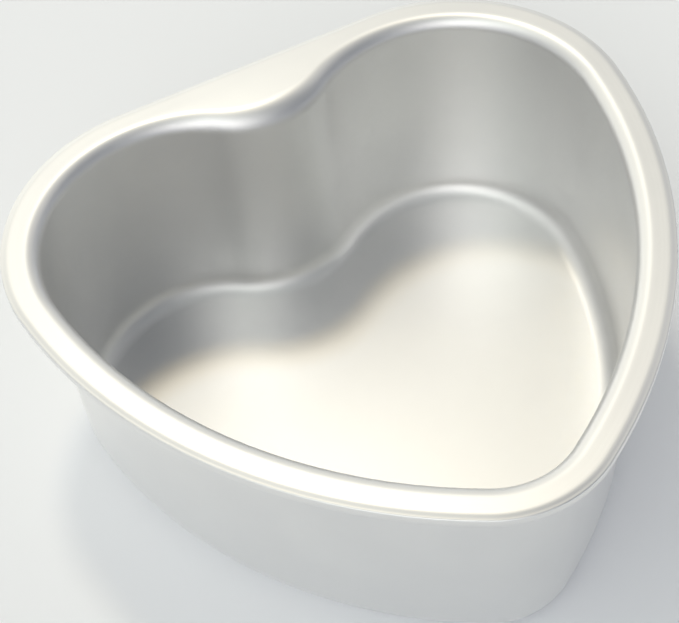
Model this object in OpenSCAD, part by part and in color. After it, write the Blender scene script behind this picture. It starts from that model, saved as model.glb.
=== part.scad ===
// Heart-shaped cake pan, pressed from one sheet of metal.
// The cavity is a heart made of tangent arcs: a round tip, a long curve on each side,
// two lobes, and a rounded cleft between the lobes. A level rim goes all the way round
// and fills the cleft, and its outer edge is rolled down and under into a bead.
// The model is a closed skin: one cross-section is set out at every point of the heart.
// Millimetres, +Z up, the base stands on Z = 0, the tip points to -Y, X = 0 is the mirror
// plane, and the origin is under the centre of the overall length and width.

/* [Heart outline, measured on the inside of the wall] */
// Width across the two lobes
inner_width = 152.4; // [146:0.2:160]
// Length from the tip to the top of the lobes
inner_length = 143.6; // [136:0.1:152]
// Radius of each lobe
lobe_radius = 38.2; // [35:0.1:40]
// Radius of the rounded tip
tip_radius = 21.7; // [14:0.1:28]
// Radius of the long curve between the tip and a lobe
side_radius = 131.4; // [110:0.2:200]
// Radius of the rounding at the bottom of the cleft
cleft_radius = 28; // [22:0.5:36]

/* [Sheet and body] */
// Height from the base to the top of the rim
pan_height = 69; // [40:1:90]
// Thickness of the metal sheet
sheet = 1.2; // [0.8:0.1:1.8]
// Angle by which the wall leans inwards towards the floor
wall_draft = 0.3; // [0:0.1:3]
// Inside radius between the wall and the floor
floor_fillet = 6; // [3:0.5:10]

/* [Rim] */
// Width of the rim, from the inside of the wall to the outer edge
rim_width = 9.8; // [9:0.1:14]
// Radius of the bend between the wall and the rim
rim_fillet = 3.8; // [2.4:0.1:4.4]
// Radius of the same bend at the bottom of the cleft, where it is softer
cleft_fillet = 6.4; // [4.4:0.1:7]
// Radius of the rolled outer edge
edge_radius = 2.1; // [1.9:0.1:3]
// Angle by which the rolled edge curls on under the rim, past its widest point
edge_curl = 60; // [0:5:90]

/* [Smoothness] */
// Steps around the tip, on each side of the mirror plane
tip_steps = 9; // [6:1:10]
// Steps along the long curve of each side
side_steps = 9; // [6:1:10]
// Steps around a lobe, up to its top
lobe_steps = 20; // [12:1:20]
// Steps from the top of a lobe to the start of the cleft
crown_steps = 8; // [4:1:8]
// Steps around half of the cleft
cleft_steps = 9; // [5:1:9]
// Steps around the bend between the wall and the floor
floor_bend_steps = 8; // [4:1:8]
// Steps around the bend between the wall and the rim
rim_bend_steps = 8; // [3:1:8]
// Steps around the rolled edge
edge_steps = 8; // [4:1:8]

/* [Hidden] */

// Centres of the lobe, tip and cleft arcs, seen from above, with the lobes on Y = 0
lobe_centre = [inner_width / 2 - lobe_radius, 0];
tip_centre = [0, lobe_radius + tip_radius - inner_length];
cleft_centre = [0, sqrt(pow(lobe_radius + cleft_radius, 2) - pow(lobe_centre.x, 2))];

// The side arc touches the tip arc and the lobe arc from outside, so its centre is where
// a circle about the tip centre meets a circle about the lobe centre
tip_to_lobe = lobe_centre - tip_centre;
centre_gap = norm(tip_to_lobe);
tip_reach = side_radius - tip_radius;
lobe_reach = side_radius - lobe_radius;
side_along = (pow(tip_reach, 2) - pow(lobe_reach, 2) + pow(centre_gap, 2)) / (2 * centre_gap);
side_across = sqrt(pow(tip_reach, 2) - pow(side_along, 2));
gap_direction = tip_to_lobe / centre_gap;
side_centre = tip_centre + gap_direction * side_along
    + [-gap_direction.y, gap_direction.x] * side_across;

// Directions in which the arcs meet
tip_end = heading(tip_centre - side_centre);
side_end = heading(lobe_centre - side_centre);
lobe_top = 90;
lobe_end = heading(cleft_centre - lobe_centre);
cleft_start = lobe_end - 180;
cleft_bottom = -90;

// Each outline point is [arc centre, arc radius, direction, turn, behind]. The turn is 1 on
// an arc that bulges out of the heart and -1 on the cleft. Behind is true for the points
// that face the straight back edge of the rim.
right_half = concat(
    arc_points(tip_centre, tip_radius, -90, tip_end, 0, tip_steps, 1, false),
    arc_points(side_centre, side_radius, tip_end, side_end, 1, side_steps, 1, false),
    arc_points(lobe_centre, lobe_radius, side_end, lobe_top, 1, lobe_steps, 1, false),
    arc_points(lobe_centre, lobe_radius, lobe_top, lobe_end, 1, crown_steps, 1, true),
    arc_points(cleft_centre, cleft_radius, cleft_start, cleft_bottom, 1, cleft_steps, -1, true)
);
left_half = [for (i = [len(right_half) - 2 : -1 : 1]) mirrored(right_half[i])];
heart = concat(right_half, left_half);

// Height and run shared by every cross-section
floor_bend_z = sheet + floor_fillet;
draft_run = (pan_height - rim_fillet - floor_bend_z) * tan(wall_draft);

// Overall length, used to put the origin under its middle
tip_edge_y = tip_centre.y - tip_radius - rim_width;
back_edge_y = lobe_radius + rim_width;
middle_y = (tip_edge_y + back_edge_y) / 2;

function heading(v) = atan2(v.y, v.x);

function toward(angle) = [cos(angle), sin(angle)];

function arc_points(centre, radius, from, to, first, steps, turn, behind) =
    [for (i = [first : steps]) [centre, radius, from + (to - from) * i / steps, turn, behind]];

function mirrored(point) =
    [[-point[0].x, point[0].y], point[1], 180 - point[2], point[3], point[4]];

// A place at a distance outside the wall, square to the wall
function beside_wall(point, distance) =
    point[0] + (point[1] + point[3] * distance) * toward(point[2]);

// A place on the rim, whose outline runs straight across behind the cleft
function on_rim(point, distance) =
    point[4]
        ? [beside_wall(point, rim_fillet).x, lobe_radius + distance]
        : beside_wall(point, distance);

// How near a point is to the bottom of the cleft, from 0 at a lobe's top to 1
function cleft_share(point) =
    let (share = 1 - abs(beside_wall(point, 0).x) / lobe_centre.x)
    point[4] ? share * share * (3 - 2 * share) : 0;

function bend_radius(point) = rim_fillet + (cleft_fillet - rim_fillet) * cleft_share(point);

function lifted(place, z) = [place.x, place.y - middle_y, z];

// Bend between the wall and the floor, from the floor up; depth is 0 on the inside of the
// sheet and the sheet thickness on the outside
function floor_bend(point, depth) =
    [for (i = [floor_bend_steps : -1 : 0])
        let (
            angle = 90 * i / floor_bend_steps,
            radius = floor_fillet + depth
        )
        lifted(beside_wall(point, radius * cos(angle) - floor_fillet - draft_run),
            floor_bend_z - radius * sin(angle))];

// Bend between the wall and the rim, from the wall up
function rim_bend(point, depth) =
    let (
        bend = bend_radius(point),
        radius = bend - depth
    )
    [for (i = [0 : rim_bend_steps])
        let (angle = 180 - 90 * i / rim_bend_steps)
        lifted(beside_wall(point, bend + radius * cos(angle)),
            pan_height - bend + radius * sin(angle))];

// Rolled outer edge, from the level rim round and under it
function rolled_edge(point, depth) =
    let (radius = edge_radius - depth)
    [for (i = [0 : edge_steps])
        let (angle = 90 - (90 + edge_curl) * i / edge_steps)
        lifted(on_rim(point, rim_width - edge_radius + radius * cos(angle)),
            pan_height - edge_radius + radius * sin(angle))];

// One face of the sheet, from the floor up to the end of the rolled edge
function sheet_face(point, depth) =
    concat(floor_bend(point, depth), rim_bend(point, depth), rolled_edge(point, depth));

function reversed(list) = [for (i = [len(list) - 1 : -1 : 0]) list[i]];

// Whole cross-section, from the middle of the cavity floor over the rim to the underside
function section(point) = concat(sheet_face(point, 0), reversed(sheet_face(point, sheet)));

module heart_pan() {
    sections = [for (point = heart) section(point)];
    around = len(sections);
    along = len(sections[0]);
    floor_middle = around * along;
    base_middle = floor_middle + 1;
    points = concat(
        [for (one = sections) each one],
        [lifted([0, 0], sheet), lifted([0, 0], 0)]
    );
    skin = [for (i = [0 : around - 1], j = [0 : along - 2])
        let (
            here = i * along + j,
            next = ((i + 1) % around) * along + j
        )
        each [[here, here + 1, next], [next, here + 1, next + 1]]];
    floor_fan = [for (i = [0 : around - 1])
        [floor_middle, i * along, ((i + 1) % around) * along]];
    base_fan = [for (i = [0 : around - 1])
        [base_middle, ((i + 1) % around) * along + along - 1, i * along + along - 1]];
    color([0.83, 0.83, 0.81])
        polyhedron(points, concat(skin, floor_fan, base_fan));
}

heart_pan();
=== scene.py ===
"""Looks for the heart-shaped cake pan: the pressed aluminium shell, its satin finish and a
plain pale studio.

The pan is one sheet of metal. Its cross-section is drawn at the tip, swept round the heart's
arcs, run straight along the back edge, bridged behind the cleft, mirrored, and given its
thickness. Lengths in the size classes are in millimetres, and the scene is in metres.
"""

import logging
import math
from dataclasses import dataclass, field
from enum import Enum
from typing import Callable, TypeAlias

import bmesh
import bpy
from mathutils import Matrix, Vector


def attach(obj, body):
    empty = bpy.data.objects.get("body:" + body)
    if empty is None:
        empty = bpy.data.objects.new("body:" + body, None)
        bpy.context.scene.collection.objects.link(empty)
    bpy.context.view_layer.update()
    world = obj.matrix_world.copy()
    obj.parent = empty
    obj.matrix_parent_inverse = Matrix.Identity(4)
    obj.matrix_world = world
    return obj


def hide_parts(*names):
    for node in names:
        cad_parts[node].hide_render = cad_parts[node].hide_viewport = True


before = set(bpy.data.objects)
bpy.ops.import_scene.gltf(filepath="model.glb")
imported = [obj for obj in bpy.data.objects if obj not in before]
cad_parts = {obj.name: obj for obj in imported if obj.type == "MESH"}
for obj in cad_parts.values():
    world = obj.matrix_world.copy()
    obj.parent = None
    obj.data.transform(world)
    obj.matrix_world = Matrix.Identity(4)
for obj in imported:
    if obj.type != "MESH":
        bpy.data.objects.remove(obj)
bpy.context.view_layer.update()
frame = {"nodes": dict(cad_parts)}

MM = 0.001
# Places nearer to each other than this, in metres, count as one
NEAR = 1e-6
LOG = logging.getLogger("heart_pan_scene")

# What a node's socket can be fed with
Source: TypeAlias = bpy.types.NodeSocket | Vector | tuple[float, ...] | float


class Row(Enum):
    """Rows of the cross-section, from the floor to the bead, that later steps find again."""

    FLOOR_RING = 1
    WALL = 2
    RIM_CORNER = 3
    RIM_FLAT = 4
    RIM_LINE = 5
    STEP = 6
    BEAD = 7


# Rows that follow the heart into the cleft, while the others run straight behind it
INNER_ROWS = frozenset({Row.FLOOR_RING, Row.WALL, Row.RIM_CORNER})


@dataclass(frozen=True)
class Arc:
    """One arc of the heart's outline, seen from above.

    Attributes:
        centre: Centre of the arc, in millimetres.
        radius: Radius on the inside of the wall, in millimetres.
        start: Direction of its first point, in degrees.
        end: Direction of its last point, in degrees.
        steps: Number of faces along it.
    """

    centre: Vector
    radius: float
    start: float
    end: float
    steps: int

    @property
    def sweep(self) -> float:
        """Signed angle that the arc turns through, in radians."""
        return math.radians(self.end - self.start)

    def point(self, step: int, offset: float = 0.0) -> Vector:
        """A point on the arc.

        Args:
            step: Which step, from 0 to ``steps``.
            offset: Distance outside the arc, in millimetres.

        Returns:
            The point in millimetres.
        """
        angle = math.radians(self.start) + self.sweep * step / self.steps
        reach = self.radius + offset
        return self.centre + Vector((math.cos(angle), math.sin(angle))) * reach


def heading(v: Vector) -> float:
    """Direction of a flat vector, in degrees."""
    return math.degrees(math.atan2(v.y, v.x))


@dataclass
class HeartOutline:
    """The heart on the inside of the wall: tangent arcs, one half of it.

    Attributes:
        inner_width: Width across the two lobes, in millimetres.
        inner_length: Length from the tip to the top of the lobes, in millimetres.
        lobe_radius: Radius of each lobe, in millimetres.
        tip_radius: Radius of the rounded tip, in millimetres.
        side_radius: Radius of the long curve between the tip and a lobe, in millimetres.
        cleft_radius: Radius of the rounding at the bottom of the cleft, in millimetres.
        tip_steps: Faces round half of the tip.
        side_steps: Faces along a side.
        lobe_steps: Faces round a lobe, up to its top.
        crown_steps: Faces from a lobe's top to the start of the cleft.
        cleft_steps: Faces round half of the cleft.
    """

    inner_width: float = 152.4
    inner_length: float = 143.6
    lobe_radius: float = 38.2
    tip_radius: float = 21.7
    side_radius: float = 131.4
    cleft_radius: float = 28.0
    tip_steps: int = 20
    side_steps: int = 22
    lobe_steps: int = 40
    crown_steps: int = 12
    cleft_steps: int = 14

    def arcs(self) -> dict[str, Arc]:
        """Work out the arcs of the right half, from the tip to the bottom of the cleft.

        Returns:
            The tip, side, lobe, crown and cleft arcs by name.
        """
        tip_y = self.lobe_radius + self.tip_radius - self.inner_length
        middle_y = (tip_y - self.tip_radius + self.lobe_radius) / 2
        shift = Vector((0.0, -middle_y))
        lobe = Vector((self.inner_width / 2 - self.lobe_radius, 0.0))
        tip = Vector((0.0, tip_y))
        reach = self.lobe_radius + self.cleft_radius
        cleft = Vector((0.0, math.sqrt(reach**2 - lobe.x**2)))
        gap = (lobe - tip).length
        tip_reach = self.side_radius - self.tip_radius
        lobe_reach = self.side_radius - self.lobe_radius
        along = (tip_reach**2 - lobe_reach**2 + gap**2) / (2 * gap)
        across = math.sqrt(tip_reach**2 - along**2)
        to_lobe = (lobe - tip) / gap
        side = tip + to_lobe * along + Vector((-to_lobe.y, to_lobe.x)) * across
        tip_end = heading(tip - side)
        side_end = heading(lobe - side)
        lobe_end = heading(cleft - lobe)
        return {
            "tip": Arc(tip + shift, self.tip_radius, -90.0, tip_end, self.tip_steps),
            "side": Arc(side + shift, self.side_radius, tip_end, side_end, self.side_steps),
            "lobe": Arc(lobe + shift, self.lobe_radius, side_end, 90.0, self.lobe_steps),
            "crown": Arc(lobe + shift, self.lobe_radius, 90.0, lobe_end, self.crown_steps),
            "cleft": Arc(cleft + shift, self.cleft_radius, lobe_end - 180.0, -90.0, self.cleft_steps),
        }


@dataclass
class SheetSection:
    """Sizes of the cross-section that is swept round the heart, in millimetres.

    Attributes:
        pan_height: Height from the base to the top of the rim.
        sheet: Thickness of the metal.
        wall_draft: Degrees by which the wall leans in towards the floor.
        floor_fillet: Radius of the bend between floor and wall.
        floor_ring: Width of the ring of faces round the floor.
        rim_width: Width of the rim, a hair less than the solid's, whose box it stays in.
        rim_fillet: Radius of the bend between wall and rim.
        cleft_fillet: Radius of the same bend at the bottom of the cleft.
        edge_radius: Radius of the bead, the rolled outer edge.
        edge_curl: Degrees by which the bead curls on past its widest point.
        flat_start: Distance from the wall to the rim's first row past the bend.
        line_offsets: Distances from the wall to the faint lines pressed into the rim.
        line_width: Width of a line.
        line_depth: Depth of a line.
        floor_bend_steps: Faces round the bend between floor and wall.
        rim_bend_steps: Faces round the bend between wall and rim.
        step_profile: Places on the ledge outside the bead's top, each as its distance from
            the bead's top outwards and downwards.
        bead_steps: Faces round the curled part of the bead.
    """

    pan_height: float = 69.0
    sheet: float = 1.2
    wall_draft: float = 0.3
    floor_fillet: float = 6.0
    floor_ring: float = 4.0
    rim_width: float = 9.74
    rim_fillet: float = 3.8
    cleft_fillet: float = 6.4
    edge_radius: float = 2.1
    edge_curl: float = 60.0
    flat_start: float = 4.2
    line_offsets: tuple[float, ...] = (5.7, 6.7)
    line_width: float = 0.5
    line_depth: float = 0.004
    floor_bend_steps: int = 12
    rim_bend_steps: int = 12
    step_profile: tuple[tuple[float, float], ...] = (
        (0.45, 0.03),
        (0.85, 0.13),
        (1.15, 0.235),
        (1.42, 0.315),
        (1.62, 0.35),
        (1.80, 0.375),
        (1.95, 0.44),
        (2.04, 0.56),
        (2.09, 0.75),
        (2.10, 1.05),
        (2.10, 1.50),
    )
    bead_steps: int = 9

    @property
    def floor_bend_z(self) -> float:
        """Height of the centre of the bend between floor and wall."""
        return self.sheet + self.floor_fillet

    @property
    def draft_run(self) -> float:
        """Distance that the wall leans in from its top to its bottom."""
        wall_height = self.pan_height - self.rim_fillet - self.floor_bend_z
        return wall_height * math.tan(math.radians(self.wall_draft))

    @property
    def bead_start(self) -> float:
        """Distance from the wall to where the level rim turns down into the bead."""
        return self.rim_width - self.edge_radius

    @property
    def bead_z(self) -> float:
        """Height of the centre of the bead."""
        return self.pan_height - self.edge_radius

    def step_points(self) -> list[tuple[float, float]]:
        """Where the stepped edge stands out of the round bead.

        Returns:
            For each of its points the angle above the bead's widest point, in degrees, and
            how far it stands out, in millimetres.
        """
        points = []
        for out, drop in self.step_profile:
            rise = self.edge_radius - drop
            reach = math.hypot(out, rise)
            points.append((math.degrees(math.atan2(rise, out)), reach - self.edge_radius))
        return points


class Modeller:
    """Edit-mode helpers: each selects by row or place and runs Blender's own operators."""

    ROW_LAYER = "row"

    def __init__(self, name: str) -> None:
        """Start a mesh object from one vertex.

        Args:
            name: Name of the object.
        """
        bpy.ops.object.select_all(action="DESELECT")
        bpy.ops.mesh.primitive_plane_add(size=MM)
        self.object = bpy.context.object
        self.object.name = name
        self.object.data.name = name
        self.edit()
        bpy.ops.mesh.select_all(action="SELECT")
        bpy.ops.mesh.merge(type="CENTER")
        self.mesh().verts.layers.int.new(self.ROW_LAYER)

    def edit(self) -> None:
        """Go into edit mode, in vertex select mode."""
        bpy.ops.object.mode_set(mode="EDIT")
        bpy.ops.mesh.select_mode(type="VERT")

    def leave(self) -> None:
        """Go back to object mode."""
        bpy.ops.object.mode_set(mode="OBJECT")

    def mesh(self) -> bmesh.types.BMesh:
        """The mesh under edit."""
        return bmesh.from_edit_mesh(self.object.data)

    def label(self, row: Row) -> None:
        """Label the selected vertices as one row; their copies keep the label.

        Args:
            row: The row that they belong to.
        """
        mesh = self.mesh()
        layer = mesh.verts.layers.int[self.ROW_LAYER]
        for vertex in mesh.verts:
            if vertex.select:
                vertex[layer] = row.value
        bmesh.update_edit_mesh(self.object.data)

    def move(self, shift: Vector) -> None:
        """Move the selected vertices by a vector in metres."""
        bpy.ops.transform.translate(value=shift)

    def draw_to(self, place: Vector) -> None:
        """Extrude the one selected vertex to a place.

        Args:
            place: The new vertex, in metres.
        """
        here = next(v.co.copy() for v in self.mesh().verts if v.select)
        bpy.ops.mesh.extrude_vertices_move(TRANSFORM_OT_translate={"value": place - here})

    def spin(self, centre: Vector, axis: Vector, angle: float, steps: int) -> None:
        """Spin the selection, and leave its last copy selected.

        Args:
            centre: A point on the axis, in metres.
            axis: Direction of the axis.
            angle: Angle in radians, right-handed about the axis.
            steps: Number of steps.
        """
        bpy.ops.mesh.spin(steps=steps, angle=-angle, center=centre, axis=axis)

    def select(self, wanted: Callable[[Vector, Row | None], bool]) -> None:
        """Select the vertices that a test accepts, and nothing else.

        Args:
            wanted: Takes a vertex's place in metres and its row, and says yes or no.
        """
        bpy.ops.mesh.select_all(action="DESELECT")
        mesh = self.mesh()
        layer = mesh.verts.layers.int[self.ROW_LAYER]
        known = {row.value: row for row in Row}
        for vertex in mesh.verts:
            if wanted(vertex.co, known.get(vertex[layer])):
                vertex.select = True
        mesh.select_flush_mode()
        mesh.select_flush(True)
        bmesh.update_edit_mesh(self.object.data)

    def select_edges(self, wanted: Callable[[bmesh.types.BMEdge, Row | None], bool]) -> None:
        """Select the edges whose two ends share a row and that a test accepts.

        Args:
            wanted: Takes the edge and the row of its ends, and says yes or no.
        """
        bpy.ops.mesh.select_all(action="DESELECT")
        bpy.ops.mesh.select_mode(type="EDGE")
        mesh = self.mesh()
        layer = mesh.verts.layers.int[self.ROW_LAYER]
        known = {row.value: row for row in Row}
        for edge in mesh.edges:
            one, two = (v[layer] for v in edge.verts)
            if one == two and wanted(edge, known.get(one)):
                edge.select = True
        bmesh.update_edit_mesh(self.object.data)

    def weld(self) -> None:
        """Weld all vertices that lie in the same place."""
        bpy.ops.mesh.select_mode(type="VERT")
        bpy.ops.mesh.select_all(action="SELECT")
        bpy.ops.mesh.remove_doubles(threshold=NEAR)

    def drop_attribute(self, name: str) -> None:
        """Delete an attribute of the mesh that has served its purpose."""
        attributes = self.object.data.attributes
        attributes.remove(attributes[name])

    def apply(self, kind: str, **settings: object) -> None:
        """Add a modifier and apply it.

        Args:
            kind: Blender's name for the kind of modifier.
            settings: Its settings by name.
        """
        modifier = self.object.modifiers.new(kind.title(), kind)
        for name, value in settings.items():
            setattr(modifier, name, value)
        bpy.ops.object.modifier_apply(modifier=modifier.name)


@dataclass
class PanShell:
    """The pan itself: floor, wall, rim and rolled edge, pressed from one sheet.

    Attributes:
        outline: The heart seen from above.
        section: The cross-section of the sheet.
        name: Name of the piece.
        smooth_angle: Degrees up to which an edge is shaded smoothly.
        arcs: The outline's arcs by name.
        work: The mesh under work.
    """

    outline: HeartOutline = field(default_factory=HeartOutline)
    section: SheetSection = field(default_factory=SheetSection)
    name: str = "pan_shell"
    smooth_angle: float = 45.0
    arcs: dict[str, Arc] = field(init=False)
    work: Modeller = field(init=False)

    def build(self) -> bpy.types.Object:
        """Model the shell.

        Returns:
            The finished mesh object, at the origin.
        """
        self.arcs = self.outline.arcs()
        self.work = Modeller(self.name)
        self.draw_section()
        self.sweep_to_lobe_top()
        self.sweep_into_cleft()
        self.run_back_edge()
        self.bridge_behind_cleft()
        self.mirror_halves()
        self.close_floor()
        self.round_rim_corner()
        self.thicken()
        self.raise_step()
        self.finish_edges()
        return self.work.object

    def at_tip(self, offset: float, z: float) -> Vector:
        """A place in the mirror plane at the tip.

        Args:
            offset: Distance outside the wall, in millimetres.
            z: Height in millimetres.

        Returns:
            The place in metres.
        """
        tip = self.arcs["tip"]
        return Vector((0.0, tip.centre.y - tip.radius - offset, z)) * MM

    def on_bead(self, angle: float) -> Vector:
        """A place on the bead in the mirror plane at the tip.

        Args:
            angle: Degrees above the bead's widest point.

        Returns:
            The place in metres.
        """
        s, turn = self.section, math.radians(angle)
        offset = s.bead_start + s.edge_radius * math.cos(turn)
        return self.at_tip(offset, s.bead_z + s.edge_radius * math.sin(turn))

    def draw_section(self) -> None:
        """Draw the cross-section in the mirror plane, from the floor to the bead's end."""
        s, work = self.section, self.work
        across = Vector((1.0, 0.0, 0.0))
        bend_offset = -s.draft_run - s.floor_fillet
        work.move(self.at_tip(bend_offset - s.floor_ring, s.sheet))
        work.label(Row.FLOOR_RING)
        work.draw_to(self.at_tip(bend_offset, s.sheet))
        work.label(Row.WALL)
        work.spin(self.at_tip(bend_offset, s.floor_bend_z), across, -math.pi / 2, s.floor_bend_steps)
        work.draw_to(self.at_tip(0.0, s.pan_height))
        work.label(Row.RIM_CORNER)
        work.draw_to(self.at_tip(s.flat_start, s.pan_height))
        work.label(Row.RIM_FLAT)
        for offset in s.line_offsets:
            for side, depth in ((-1, 0.0), (0, s.line_depth), (1, 0.0)):
                place = offset + side * s.line_width / 2
                work.draw_to(self.at_tip(place, s.pan_height - depth))
                work.label(Row.RIM_LINE)
        work.draw_to(self.on_bead(90.0))
        work.label(Row.BEAD)
        for angle, _lift in s.step_points():
            work.draw_to(self.on_bead(angle))
            work.label(Row.STEP)
        work.draw_to(self.on_bead(0.0))
        work.label(Row.BEAD)
        bead = self.at_tip(s.bead_start, s.bead_z)
        work.spin(bead, across, math.radians(s.edge_curl), s.bead_steps)

    def spin_along(self, arc: Arc) -> None:
        """Sweep the selected section along an arc of the outline."""
        centre = Vector((arc.centre.x, arc.centre.y, 0.0)) * MM
        self.work.spin(centre, Vector((0.0, 0.0, 1.0)), arc.sweep, arc.steps)

    def sweep_to_lobe_top(self) -> None:
        """Sweep the whole section round the tip, the side and the lobe."""
        bpy.ops.mesh.select_all(action="SELECT")
        for name in ("tip", "side", "lobe"):
            self.spin_along(self.arcs[name])

    def at_lobe_top(self, place: Vector) -> bool:
        """Whether a place lies in the section at the top of the lobe."""
        lobe = self.arcs["lobe"].centre * MM
        return abs(place.x - lobe.x) < NEAR and place.y > lobe.y

    def sweep_into_cleft(self) -> None:
        """Sweep the floor and wall on over the crown and round the cleft."""
        self.work.select(lambda place, row: self.at_lobe_top(place) and row in INNER_ROWS)
        for name in ("crown", "cleft"):
            self.spin_along(self.arcs[name])

    def run_back_edge(self) -> None:
        """Run the outer rows straight across the back, cut to face the crown and the cleft."""
        self.work.select(lambda place, row: self.at_lobe_top(place) and row not in INNER_ROWS)
        crown, cleft = self.arcs["crown"], self.arcs["cleft"]
        cuts = [crown.point(i).x for i in range(crown.steps)]
        cuts += [cleft.point(i).x for i in range(cleft.steps + 1)]
        for before, x in zip(cuts, cuts[1:]):
            bpy.ops.mesh.extrude_region_move(
                TRANSFORM_OT_translate={"value": Vector((x - before, 0.0, 0.0)) * MM}
            )

    def bridge_behind_cleft(self) -> None:
        """Bridge the wall's top and the straight rows across the wide part of the rim."""
        lobe = self.arcs["lobe"].centre * MM
        self.work.select_edges(
            lambda edge, row: row in {Row.RIM_CORNER, Row.RIM_FLAT}
            and all(v.co.x < lobe.x + NEAR and v.co.y > lobe.y for v in edge.verts)
            and edge.is_boundary
        )
        bpy.ops.mesh.bridge_edge_loops()
        self.work.weld()

    def mirror_halves(self) -> None:
        """Mirror the right half and weld it along the tip and the cleft."""
        self.work.leave()
        across = (True, False, False)
        self.work.apply("MIRROR", use_axis=across, use_clip=True, merge_threshold=NEAR)

    def close_floor(self) -> None:
        """Fill the floor inside its ring and turn every face up and inwards."""
        work = self.work
        work.edit()
        work.select_edges(lambda edge, row: row == Row.FLOOR_RING and edge.is_boundary)
        bpy.ops.mesh.edge_face_add()
        bpy.ops.mesh.poke()
        work.weld()
        bpy.ops.mesh.normals_make_consistent(inside=False)
        floor_z = self.section.sheet * MM + NEAR
        floor = next(f for f in work.mesh().faces if all(v.co.z < floor_z for v in f.verts))
        if floor.normal.z < 0:
            bpy.ops.mesh.flip_normals()
        work.leave()

    def bend_radius(self, place: Vector) -> float:
        """Radius of the bend between wall and rim, which is softer at the cleft.

        Args:
            place: A place on the corner, in metres.

        Returns:
            The radius in millimetres.
        """
        lobe, s = self.arcs["lobe"].centre, self.section
        if place.y < lobe.y * MM:
            return s.rim_fillet
        share = max(0.0, 1.0 - abs(place.x / MM) / lobe.x)
        return s.rim_fillet + (s.cleft_fillet - s.rim_fillet) * share**2 * (3 - 2 * share)

    def corner_widths(self) -> dict[int, float]:
        """Work out how far the bend reaches from each edge of the corner.

        Returns:
            The reach in metres, by the number of the edge.
        """
        mesh = self.work.mesh()
        layer = mesh.verts.layers.int[self.work.ROW_LAYER]
        widths = {}
        for edge in mesh.edges:
            if edge.is_manifold and all(v[layer] == Row.RIM_CORNER.value for v in edge.verts):
                middle = (edge.verts[0].co + edge.verts[1].co) / 2
                half_turn = edge.calc_face_angle() / 2
                widths[edge.index] = self.bend_radius(middle) * math.tan(half_turn) * MM
        return widths

    def round_rim_corner(self) -> None:
        """Bevel the corner between wall and rim, wider where the bend is softer."""
        work = self.work
        work.edit()
        widths = self.corner_widths()
        work.leave()
        widest = max(widths.values())
        name = "bevel_weight_edge"
        weights = work.object.data.attributes.new(name, "FLOAT", "EDGE")
        for index, width in widths.items():
            weights.data[index].value = width / widest
        LOG.info("rim bend: %d edges, widest %.2f mm", len(widths), widest / MM)
        work.apply(
            "BEVEL",
            limit_method="WEIGHT",
            offset_type="OFFSET",
            width=widest,
            segments=self.section.rim_bend_steps,
            use_clamp_overlap=False,
        )
        work.drop_attribute(name)

    def thicken(self) -> None:
        """Give the sheet its thickness, on the outside and underneath."""
        self.work.apply(
            "SOLIDIFY",
            thickness=self.section.sheet * MM,
            offset=-1.0,
            use_even_offset=True,
            use_quality_normals=True,
        )

    def raise_step(self) -> None:
        """Raise the narrow ledge that runs round the outside of the bead's top."""
        s, work = self.section, self.work
        highest = max(lift for _angle, lift in s.step_points())
        work.object.vertex_groups.new(name="step")
        work.edit()
        for angle, lift in s.step_points():
            height = self.on_bead(angle).z
            work.select(lambda place, row: row == Row.STEP and abs(place.z - height) < NEAR)
            bpy.context.tool_settings.vertex_group_weight = lift / highest
            bpy.ops.object.vertex_group_assign()
        work.leave()
        work.apply("DISPLACE", vertex_group="step", mid_level=0.0, strength=highest * MM)
        work.object.vertex_groups.clear()

    def finish_edges(self) -> None:
        """Shade the sheet smoothly, apart from its cut edge."""
        bpy.ops.object.select_all(action="DESELECT")
        self.work.object.select_set(True)
        bpy.ops.object.shade_smooth_by_angle(angle=math.radians(self.smooth_angle))
        self.work.drop_attribute(self.work.ROW_LAYER)


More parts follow.
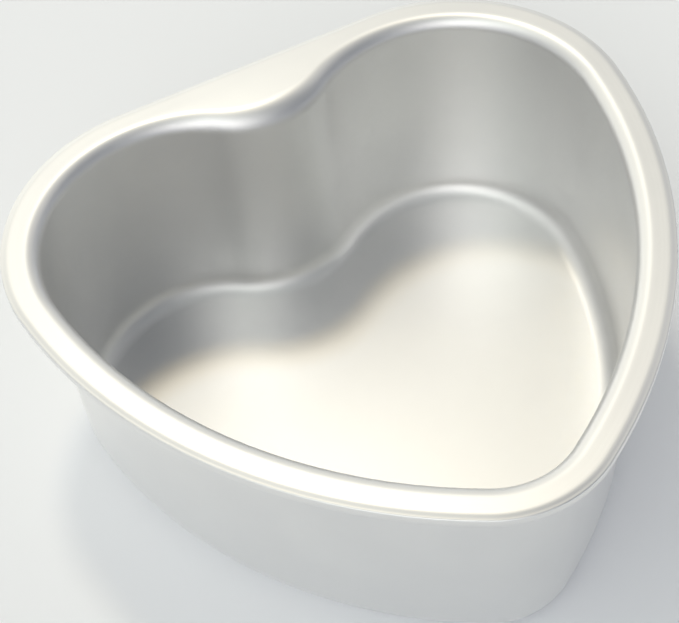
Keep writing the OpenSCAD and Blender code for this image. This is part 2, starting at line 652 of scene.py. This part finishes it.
class NodeBench:
    """A node tree with short ways to add and join nodes."""

    # Range that nearly all of a noise lies in
    NOISE_RANGE = (0.3, 0.7)

    def __init__(self, tree: bpy.types.NodeTree) -> None:
        """Work on a tree.

        Args:
            tree: The tree of a material or a world.
        """
        self.tree = tree

    def add(self, kind: str, **settings: object) -> bpy.types.Node:
        """Add a node.

        Args:
            kind: Blender's name for the kind of node.
            settings: Its properties by name.

        Returns:
            The node.
        """
        node = self.tree.nodes.new(kind)
        for name, value in settings.items():
            setattr(node, name, value)
        return node

    def feed(self, target: bpy.types.NodeSocket, source: Source) -> None:
        """Link a socket to an output, or set it to a value.

        Args:
            target: The input socket.
            source: An output socket, or a plain value.
        """
        if isinstance(source, bpy.types.NodeSocket):
            self.tree.links.new(source, target)
        else:
            target.default_value = source

    def math(self, operation: str, *values: Source) -> bpy.types.NodeSocket:
        """Add a math node.

        Args:
            operation: Blender's name for the operation.
            values: Sockets or numbers, in order.

        Returns:
            Its output.
        """
        node = self.add("ShaderNodeMath", operation=operation)
        for target, value in zip(node.inputs, values):
            self.feed(target, value)
        return node.outputs[0]

    def noise(self, place: bpy.types.NodeSocket, size: float, detail: float) -> bpy.types.NodeSocket:
        """Add a noise texture.

        Args:
            place: Coordinates in metres.
            size: Size of one blotch, in millimetres.
            detail: Octaves of finer noise.

        Returns:
            The noise, from 0 to 1.
        """
        node = self.add("ShaderNodeTexNoise")
        self.feed(node.inputs["Vector"], place)
        self.feed(node.inputs["Scale"], 1 / (size * MM))
        self.feed(node.inputs["Detail"], detail)
        return node.outputs["Fac"]

    def mix(self, way: str, share: Source, first: Source, second: Source) -> bpy.types.NodeSocket:
        """Mix two colours.

        Args:
            way: Blender's name for the way to mix them.
            share: How much of the second one is mixed in, from 0 to 1.
            first: The first colour.
            second: The second colour.

        Returns:
            The mixed colour.
        """
        node = self.add("ShaderNodeMix", data_type="RGBA", blend_type=way)
        for name, source in (("Factor", share), ("A", first), ("B", second)):
            self.feed(node.inputs[name], source)
        return node.outputs["Result"]

    def spread(self, value: bpy.types.NodeSocket, low: float, high: float) -> bpy.types.NodeSocket:
        """Stretch the middle part of a noise to a range.

        Args:
            value: The noise.
            low: What the darker parts become.
            high: What the brighter parts become.

        Returns:
            The stretched value.
        """
        node = self.add("ShaderNodeMapRange")
        for target, source in zip(node.inputs, (value, *self.NOISE_RANGE, low, high)):
            self.feed(target, source)
        return node.outputs["Result"]


@dataclass(frozen=True)
class SatinAluminium:
    """Satin anodised aluminium: an etched, softly shining metal under a thin clear oxide.

    Attributes:
        name: Name of the material.
        pale: Colour of the metal where the etching is lightest.
        deep: Colour where it is deepest.
        roughness: Lowest and highest roughness of the etched metal.
        oxide: Share of the clear layer, its roughness and its refractive index.
        grain_mm: Size of the etched grain.
        grain_detail: Octaves of finer grain.
        grain_depth_mm: Depth of the etched grain.
        grain_share: Share of the grain in the changes of roughness; the rest is the blotches'.
        blotch_mm: Size of the blotches, the slow changes in tone.
        blotch_detail: Octaves of finer blotches.
    """

    name: str = "satin_aluminium"
    pale: tuple[float, float, float, float] = (0.84, 0.84, 0.83, 1.0)
    deep: tuple[float, float, float, float] = (0.81, 0.81, 0.805, 1.0)
    roughness: tuple[float, float] = (0.46, 0.51)
    oxide: tuple[float, float, float] = (0.8, 0.28, 1.6)
    grain_mm: float = 0.35
    grain_detail: float = 2.0
    grain_depth_mm: float = 0.0012
    grain_share: float = 0.6
    blotch_mm: float = 22.0
    blotch_detail: float = 3.0

    def material(self) -> bpy.types.Material:
        """Make the material.

        Returns:
            The material, with its nodes.
        """
        material = bpy.data.materials.new(self.name)
        material.use_nodes = True
        bench = NodeBench(material.node_tree)
        shader = material.node_tree.nodes["Principled BSDF"]
        place = bench.add("ShaderNodeTexCoord").outputs["Object"]
        grain = bench.noise(place, self.grain_mm, self.grain_detail)
        blotch = bench.noise(place, self.blotch_mm, self.blotch_detail)
        tone = bench.mix("MIX", bench.spread(blotch, 0.0, 1.0), self.deep, self.pale)
        bench.feed(shader.inputs["Base Color"], tone)
        fine = bench.math("MULTIPLY", grain, self.grain_share)
        broad = bench.math("MULTIPLY", blotch, 1.0 - self.grain_share)
        both = bench.math("ADD", fine, broad)
        bench.feed(shader.inputs["Roughness"], bench.spread(both, *self.roughness))
        bump = bench.add("ShaderNodeBump")
        bench.feed(bump.inputs["Strength"], 1.0)
        bench.feed(bump.inputs["Distance"], self.grain_depth_mm * MM)
        bench.feed(bump.inputs["Height"], grain)
        bench.feed(shader.inputs["Normal"], bump.outputs["Normal"])
        bench.feed(shader.inputs["Metallic"], 1.0)
        share, roughness, index = self.oxide
        bench.feed(shader.inputs["Coat Weight"], share)
        bench.feed(shader.inputs["Coat Roughness"], roughness)
        bench.feed(shader.inputs["Coat IOR"], index)
        return material


def direction(azimuth: float, elevation: float) -> Vector:
    """A direction from its angles.

    Args:
        azimuth: Degrees from +X towards +Y.
        elevation: Degrees above the horizon.

    Returns:
        A unit vector.
    """
    turn, rise = math.radians(azimuth), math.radians(elevation)
    return Vector((math.cos(turn) * math.cos(rise), math.sin(turn) * math.cos(rise), math.sin(rise)))


@dataclass(frozen=True)
class SoftPatch:
    """A soft bright part of the studio's walls.

    Attributes:
        azimuth: Degrees from +X towards +Y.
        elevation: Degrees above the horizon.
        spread: Degrees from its middle to where it has faded to about a third.
        colour: Its colour and brightness in its middle.
    """

    azimuth: float
    elevation: float
    spread: float
    colour: tuple[float, float, float]

    @property
    def sharpness(self) -> float:
        """How fast it fades with the cosine of the angle from its middle."""
        return 1 / (1 - math.cos(math.radians(self.spread)))


@dataclass(frozen=True)
class RoundLamp:
    """A round soft lamp that faces the pan.

    Attributes:
        name: Name of the lamp.
        azimuth: Degrees from +X towards +Y.
        elevation: Degrees above the horizon.
        radius: Radius of its disc, in millimetres.
        level: Brightness of the disc.
        colour: Its colour.
    """

    name: str
    azimuth: float
    elevation: float
    radius: float
    level: float
    colour: tuple[float, float, float]


@dataclass
class Studio:
    """Camera, floor and light.

    Attributes:
        image_width: Width of the picture, in pixels.
        image_height: Height of the picture, in pixels.
        focal_px: Focal length, in pixels.
        centre_px: Where the lens looks straight ahead in the picture, in pixels.
        azimuth: Direction of the level line to the camera's right, in degrees from +X
            towards +Y.
        elevation: Degrees by which the camera looks down.
        roll: Degrees by which the camera leans to its left.
        distance: Distance from the camera to its target, in millimetres.
        target: The place the lens looks at, in millimetres.
        sensor_mm: Width of the sensor, in millimetres.
        nearest: Where the camera's view starts, in millimetres.
        floor_size: Length of the floor's side, in millimetres.
        floor_colour: Colour of the floor.
        floor_roughness: Roughness of the floor.
        floor_shine: Strength of the floor's reflections.
        room: Colour and brightness of the walls.
        horizon: What is added to them at the horizon.
        horizon_rise: Sine of the angle over which that fades to about a third.
        patches: Soft bright parts of the walls.
        lamp_distance: Distance from the pan to the lamps, in millimetres.
        lamps: The lamps.
    """

    image_width: int = 679
    image_height: int = 623
    focal_px: float = 1561.1
    centre_px: tuple[float, float] = (347.2, 314.6)
    azimuth: float = -21.87
    elevation: float = 51.03
    roll: float = -6.78
    distance: float = 371.4
    target: tuple[float, float, float] = (-16.21, -11.65, 69.0)
    sensor_mm: float = 36.0
    nearest: float = 10.0
    floor_size: float = 6000.0
    floor_colour: tuple[float, float, float, float] = (0.915, 0.93, 0.955, 1.0)
    floor_roughness: float = 0.9
    floor_shine: float = 0.2
    room: tuple[float, float, float] = (0.145, 0.16, 0.19)
    horizon: tuple[float, float, float] = (0.63, 0.66, 0.76)
    horizon_rise: float = 0.12
    patches: tuple[SoftPatch, ...] = (
        SoftPatch(102.0, 8.0, 56.0, (1.12, 1.09, 0.94)),
        SoftPatch(235.0, 32.0, 20.0, (2.49, 2.43, 2.36)),
        SoftPatch(198.0, 55.0, 20.0, (1.25, 1.32, 1.23)),
        SoftPatch(8.0, 43.0, 16.0, (0.75, 0.72, 0.68)),
    )
    lamp_distance: float = 1600.0
    lamps: tuple[RoundLamp, ...] = (
        RoundLamp("key_warm", 80.0, 67.0, 112.0, 27.9, (1.0, 0.80, 0.45)),
        RoundLamp("key_cool", 80.0, 64.0, 112.0, 15.4, (0.57, 0.75, 1.0)),
    )

    def camera(self) -> None:
        """Make the scene's camera, at the photograph's place."""
        turn, roll = math.radians(self.azimuth), math.radians(self.roll)
        back = direction(self.azimuth - 90.0, self.elevation)
        level = Vector((math.cos(turn), math.sin(turn), 0.0))
        above = back.cross(level)
        right = level * math.cos(roll) + above * math.sin(roll)
        up = above * math.cos(roll) - level * math.sin(roll)
        data = bpy.data.cameras.new("camera")
        data.sensor_width = self.sensor_mm
        data.lens = self.focal_px * self.sensor_mm / self.image_width
        data.shift_x = (self.image_width / 2 - self.centre_px[0]) / self.image_width
        data.shift_y = (self.centre_px[1] - self.image_height / 2) / self.image_width
        data.clip_start = self.nearest * MM
        camera = bpy.data.objects.new("camera", data)
        bpy.context.scene.collection.objects.link(camera)
        place = (Vector(self.target) + back * self.distance) * MM
        turned = Matrix((right, up, back)).transposed().to_4x4()
        camera.matrix_world = Matrix.Translation(place) @ turned
        bpy.context.scene.camera = camera

    def floor(self) -> None:
        """Make the pale floor."""
        bpy.ops.object.select_all(action="DESELECT")
        bpy.ops.mesh.primitive_plane_add(size=self.floor_size * MM)
        floor = bpy.context.object
        floor.name = "floor"
        material = bpy.data.materials.new("pale_floor")
        material.use_nodes = True
        shader = material.node_tree.nodes["Principled BSDF"]
        shader.inputs["Base Color"].default_value = self.floor_colour
        shader.inputs["Roughness"].default_value = self.floor_roughness
        shader.inputs["Specular IOR Level"].default_value = self.floor_shine
        floor.data.materials.append(material)

    def walls(self) -> None:
        """Make the studio's walls: dim above, paler at the horizon, with soft bright patches."""
        world = bpy.data.worlds.new("studio")
        bpy.context.scene.world = world
        world.use_nodes = True
        bench = NodeBench(world.node_tree)
        toward = bench.add("ShaderNodeTexCoord").outputs["Generated"]
        parts = bench.add("ShaderNodeSeparateXYZ")
        bench.feed(parts.inputs[0], toward)
        rise = bench.math("MAXIMUM", parts.outputs["Z"], 0.0)
        low = bench.math("EXPONENT", bench.math("DIVIDE", rise, -self.horizon_rise))
        light = bench.mix("ADD", low, (*self.room, 1.0), (*self.horizon, 1.0))
        for patch in self.patches:
            facing = bench.add("ShaderNodeVectorMath", operation="DOT_PRODUCT")
            bench.feed(facing.inputs[0], toward)
            bench.feed(facing.inputs[1], direction(patch.azimuth, patch.elevation))
            away = bench.math("SUBTRACT", facing.outputs["Value"], 1.0)
            share = bench.math("EXPONENT", bench.math("MULTIPLY", away, patch.sharpness))
            light = bench.mix("ADD", share, light, (*patch.colour, 1.0))
        bench.feed(world.node_tree.nodes["Background"].inputs["Color"], light)

    def hang(self, kind: RoundLamp) -> None:
        """Hang a lamp.

        Args:
            kind: Which lamp.
        """
        data = bpy.data.lights.new(kind.name, "AREA")
        data.shape = "DISK"
        data.size = 2 * kind.radius * MM
        area = math.pi * (kind.radius * MM) ** 2
        # An evenly bright disc gives off pi times its brightness from each part of its area
        data.energy = kind.level * math.pi * area
        data.color = kind.colour
        lamp = bpy.data.objects.new(kind.name, data)
        bpy.context.scene.collection.objects.link(lamp)
        out = direction(kind.azimuth, kind.elevation)
        lamp.location = out * self.lamp_distance * MM
        lamp.rotation_euler = out.to_track_quat("Z", "Y").to_euler()


def main() -> None:
    """Build the studio and the pan, and report each piece."""
    logging.basicConfig(level=logging.INFO, format="%(name)s: %(message)s")
    studio = Studio()
    studio.camera()
    studio.floor()
    studio.walls()
    for lamp in studio.lamps:
        studio.hang(lamp)
    bpy.context.scene.view_settings.view_transform = "Standard"
    LOG.info("solids in the frame: %s", ", ".join(frame["nodes"]))
    shell = PanShell().build()
    shell.data.materials.append(SatinAluminium().material())
    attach(shell, "root")
    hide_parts("heart_pan")
    LOG.info("%s: %d faces", shell.name, len(shell.data.polygons))


if __name__ == "__main__":
    main()
